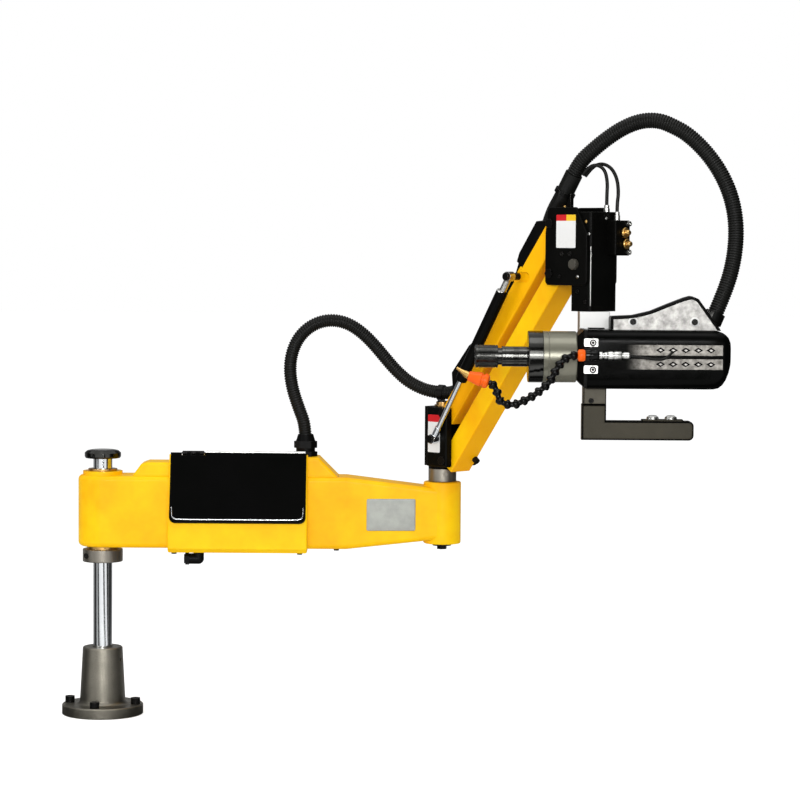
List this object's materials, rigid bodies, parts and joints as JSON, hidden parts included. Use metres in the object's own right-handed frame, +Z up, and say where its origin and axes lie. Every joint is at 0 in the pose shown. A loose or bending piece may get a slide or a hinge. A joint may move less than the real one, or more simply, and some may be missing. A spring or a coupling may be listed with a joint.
{
  "type": "arm tapping machine",
  "caption": "Electric arm tapping machine: column on a bolted pedestal, swinging cast lower arm, parallel-link lifting arm with gas spring, tilting motor head with quick-change chuck.",
  "frame": {"origin": "centre of the pedestal's underside, on the column's axis", "axes": "+Z up along the column, +X along the lower arm to the elbow, -Y towards the operator"},
  "size_m": [1.2455, 0.5175, 1.1492],
  "materials": {
    "cast_pedestal": "matt",
    "black_steel": "satin",
    "chrome_steel": "polished",
    "zinc_steel": "satin",
    "yellow_paint": "semi-gloss",
    "bronze": "plain",
    "glossy_black": "glossy",
    "black_plastic": "matt",
    "screen_glass": "glossy",
    "black_paint": "semi-gloss",
    "bare_aluminium": "satin",
    "grey_anodised": "satin",
    "hood_metal": "brushed",
    "shroud_plastic": "glossy",
    "conduit_rubber": "matt",
    "orange_plastic": "glossy",
    "brass_parts": "turned",
    "button_plastic": "glossy"
  },
  "bodies": {
    "pedestal": {"base_pedestal": "cast_pedestal", "base_screws": "black_steel", "column": "chrome_steel", "column_rings": "bronze", "column_cap": "black_plastic", "support_collar": "cast_pedestal"},
    "lower_arm": {"lower_arm_casting": "yellow_paint", "arm_bushes": "bronze", "arm_top_cover": "yellow_paint", "control_box": "yellow_paint", "touch_screen": "screen_glass", "box_screws": "black_steel", "cover_hinge": "black_steel", "cable_gland": "black_plastic", "power_gland": "black_plastic", "name_plate": "bare_aluminium", "conduit_lower": "conduit_rubber"},
    "screen_cover": {"screen_cover": "glossy_black"},
    "elbow": {"elbow_knuckle": "black_paint", "elbow_pin": "zinc_steel", "elbow_collar": "zinc_steel", "elbow_link_pins": "black_steel", "conduit_link": "conduit_rubber"},
    "upper_link": {"upper_link": "yellow_paint", "cable_trough": "black_plastic", "conduit_sleeve": "conduit_rubber"},
    "lower_link": {"lower_link": "yellow_paint", "stop_bumper": "conduit_rubber"},
    "gas_spring_rod": {"gas_spring_rod": "chrome_steel"},
    "gas_spring_tube": {"gas_spring_tube": "black_paint"},
    "head_knuckle": {"head_knuckle": "black_paint", "side_covers": "black_paint", "swivel_housing": "black_paint", "head_link_pins": "black_steel", "valve_block": "black_paint", "sleeve_clamp": "black_steel", "air_tubes": "conduit_rubber", "conduit_upper": "conduit_rubber"},
    "lock_knob": {"lock_knob": "black_plastic"},
    "valve_knob_upper": {"valve_knob_upper": "brass_parts"},
    "valve_knob_lower": {"valve_knob_lower": "brass_parts"},
    "neck": {"swivel_neck": "bare_aluminium", "conduit_head": "conduit_rubber"},
    "head": {"tilt_boss": "bare_aluminium", "motor_clamp": "black_paint", "clamp_pads": "zinc_steel", "motor_shroud": "shroud_plastic", "servo_motor": "black_paint", "gearbox": "grey_anodised", "gearbox_disc": "black_steel", "cable_hood": "hood_metal", "handle_mount": "black_paint", "handle_grip": "black_paint", "coolant_valve": "zinc_steel", "coolant_hose": "orange_plastic", "coolant_tube": "conduit_rubber"},
    "start_button": {"start_button": "button_plastic"},
    "reverse_button": {"reverse_button": "button_plastic"},
    "chuck": {"chuck_body": "black_steel"},
    "chuck_sleeve": {"chuck_sleeve": "black_steel"}
  },
  "joints": [
    {"name": "column_swing", "type": "hinge", "parent": "pedestal", "child": "lower_arm", "pos_m": [0, 0, 0.39], "axis": [0, 0, 1], "range_deg": [-170, 170]},
    {"name": "screen_cover_hinge", "type": "hinge", "parent": "lower_arm", "child": "screen_cover", "pos_m": [0.2605, -0.045, 0.503], "axis": [-1, 0, 0], "range_deg": [0, 100]},
    {"name": "elbow_swing", "type": "hinge", "parent": "lower_arm", "child": "elbow", "pos_m": [0.645, 0, 0.39], "axis": [0, 0, 1], "range_deg": [-80, 150], "deforming": ["conduit_lower"]},
    {"name": "arm_lift", "type": "hinge", "parent": "elbow", "child": "upper_link", "pos_m": [0.67258, -0.02758, 0.582], "axis": [-0.7071, -0.7071, 0], "range_deg": [-55, 8], "deforming": ["conduit_link"]},
    {"name": "lower_link_pivot", "type": "hinge", "parent": "elbow", "child": "lower_link", "pos_m": [0.67258, -0.02758, 0.492], "axis": [-0.7071, -0.7071, 0], "range_deg": [-55, 8]},
    {"name": "knuckle_pivot", "type": "hinge", "parent": "upper_link", "child": "head_knuckle", "pos_m": [0.86, -0.215, 0.93696], "axis": [-0.7071, -0.7071, 0], "range_deg": [-8, 55], "deforming": ["conduit_sleeve"]},
    {"name": "gas_rod_pivot", "type": "hinge", "parent": "elbow", "child": "gas_spring_rod", "pos_m": [0.62662, -0.05233, 0.533], "axis": [-0.7071, -0.7071, 0], "range_deg": [-48.6, 7.1]},
    {"name": "gas_tube_pivot", "type": "hinge", "parent": "upper_link", "child": "gas_spring_tube", "pos_m": [0.76129, -0.187, 0.84037], "axis": [-0.7071, -0.7071, 0], "range_deg": [-1, 6.5]},
    {"name": "lock_knob_turn", "type": "hinge", "parent": "head_knuckle", "child": "lock_knob", "pos_m": [0.86774, -0.29345, 0.864], "axis": [-0.7071, -0.7071, 0], "continuous": true},
    {"name": "upper_valve_turn", "type": "hinge", "parent": "head_knuckle", "child": "valve_knob_upper", "pos_m": [0.96744, -0.2786, 0.921], "axis": [0.7071, -0.7071, 0], "range_deg": [-135, 135]},
    {"name": "lower_valve_turn", "type": "hinge", "parent": "head_knuckle", "child": "valve_knob_lower", "pos_m": [0.97027, -0.27577, 0.901], "axis": [0.7071, -0.7071, 0], "range_deg": [-135, 135]},
    {"name": "head_swivel", "type": "hinge", "parent": "head_knuckle", "child": "neck", "pos_m": [0.90946, -0.26446, 0.86], "axis": [0, 0, 1], "range_deg": [-45, 135], "deforming": ["conduit_upper"]},
    {"name": "head_tilt", "type": "hinge", "parent": "neck", "child": "head", "pos_m": [0.90946, -0.368, 0.702], "axis": [0, 1, 0], "range_deg": [-90, 0], "deforming": ["conduit_head"]},
    {"name": "start_button_press", "type": "slide", "parent": "head", "child": "start_button", "axis": [0, 0, -1], "range_m": [0, 0.002], "stiffness_N_per_m": 400},
    {"name": "reverse_button_press", "type": "slide", "parent": "head", "child": "reverse_button", "axis": [0, 0, -1], "range_m": [0, 0.002], "stiffness_N_per_m": 400},
    {"name": "chuck_spin", "type": "hinge", "parent": "head", "child": "chuck", "pos_m": [0.75946, -0.368, 0.702], "axis": [1, 0, 0], "continuous": true},
    {"name": "sleeve_slide", "type": "slide", "parent": "chuck", "child": "chuck_sleeve", "axis": [1, 0, 0], "range_m": [0, 0.006], "stiffness_N_per_m": 900}
  ],
  "couplings": [
    {"joint": "lower_link_pivot", "follows": "arm_lift", "ratio": 1},
    {"joint": "knuckle_pivot", "follows": "arm_lift", "ratio": -1},
    {"joint": "gas_rod_pivot", "follows": "arm_lift", "ratio": 0.883},
    {"joint": "gas_tube_pivot", "follows": "arm_lift", "ratio": -0.117}
  ]
}
